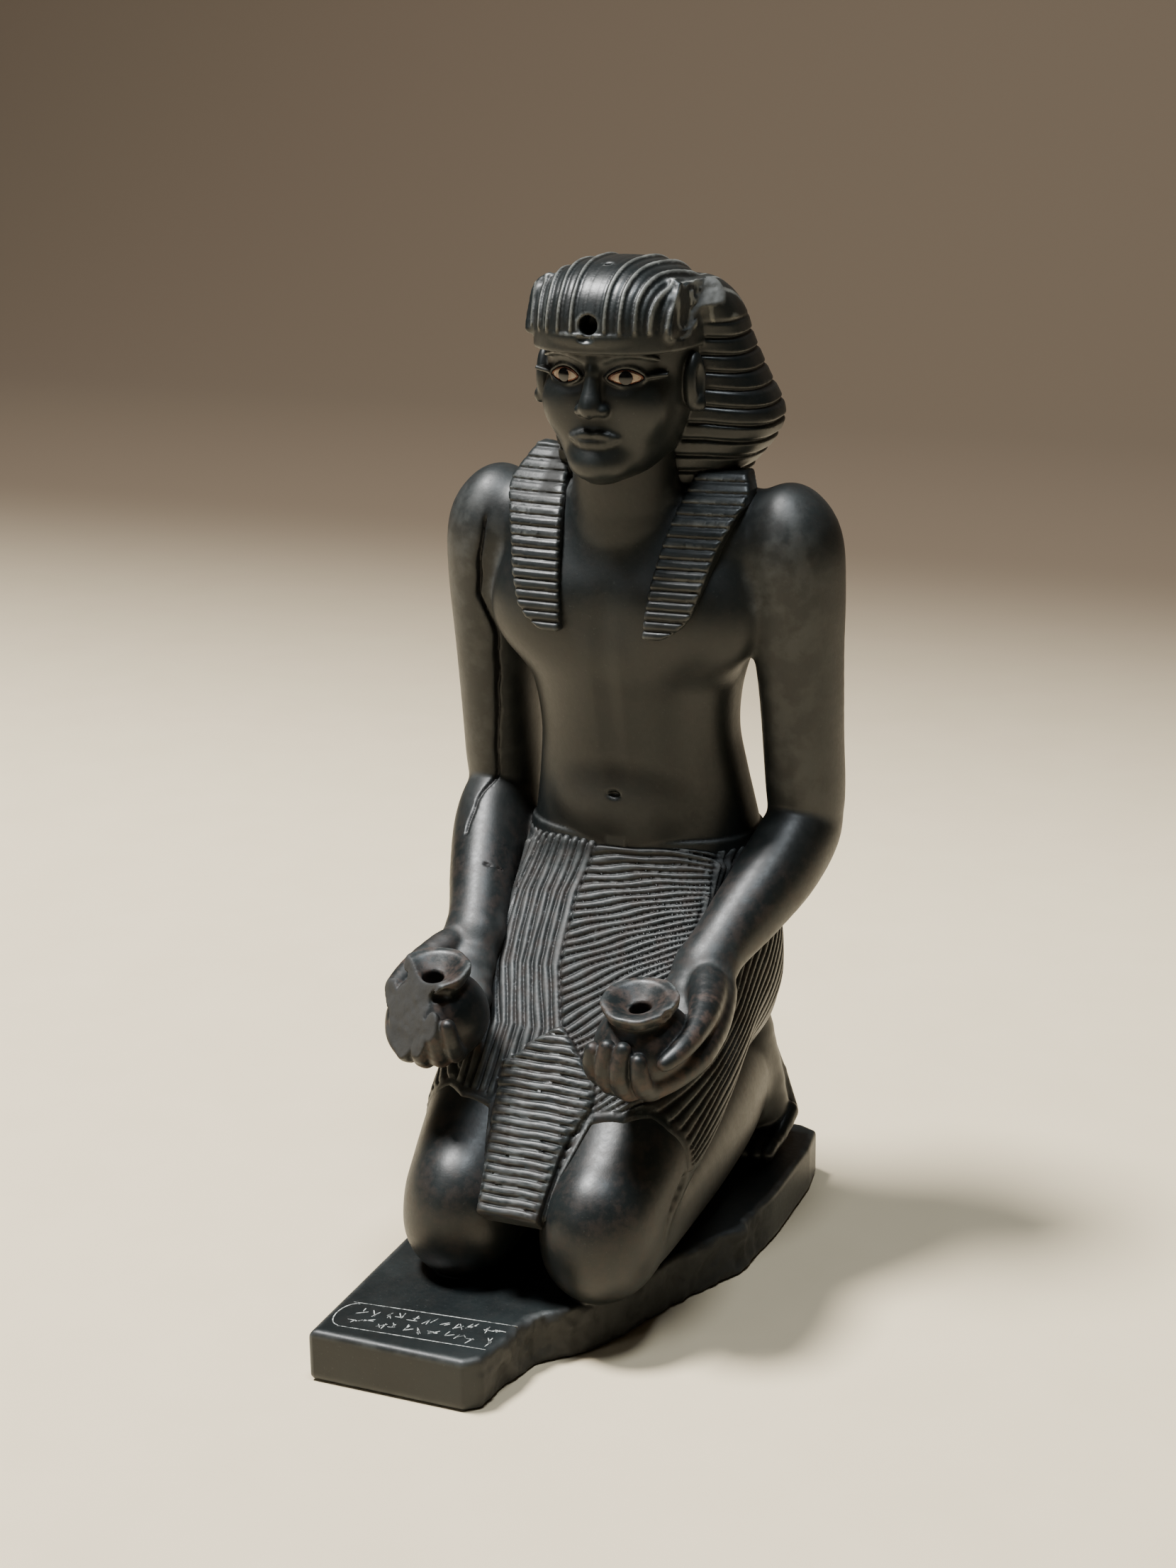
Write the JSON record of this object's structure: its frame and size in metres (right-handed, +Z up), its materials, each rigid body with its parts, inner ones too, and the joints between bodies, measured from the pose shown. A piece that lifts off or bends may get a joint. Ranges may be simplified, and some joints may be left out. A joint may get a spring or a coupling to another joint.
{
  "type": "egyptian royal statuette",
  "caption": "Kneeling royal figure in a striped headcloth and pleated kilt, carved from dark stone in one piece with its thin plinth, holding out a round offering jar in each hand.",
  "frame": {"origin": "centre of the bounding box on the plinth's underside", "axes": "+Z up, the figure faces -Y, +X is the figure's own left side"},
  "size_m": [0.0616, 0.092, 0.1501],
  "materials": {
    "stone": "worn satin polish, very dark grey-green with pale worn ridges",
    "eye_rim": "dark tarnished copper",
    "eye_white": "polished alabaster, slightly stained",
    "eye_pupil": "polished obsidian"
  },
  "bodies": {
    "root": {"stone_figure": "stone", "left_eye_rim": "eye_rim", "left_eye_white": "eye_white", "left_eye_pupil": "eye_pupil", "right_eye_rim": "eye_rim", "right_eye_white": "eye_white", "right_eye_pupil": "eye_pupil"}
  },
  "joints": []
}
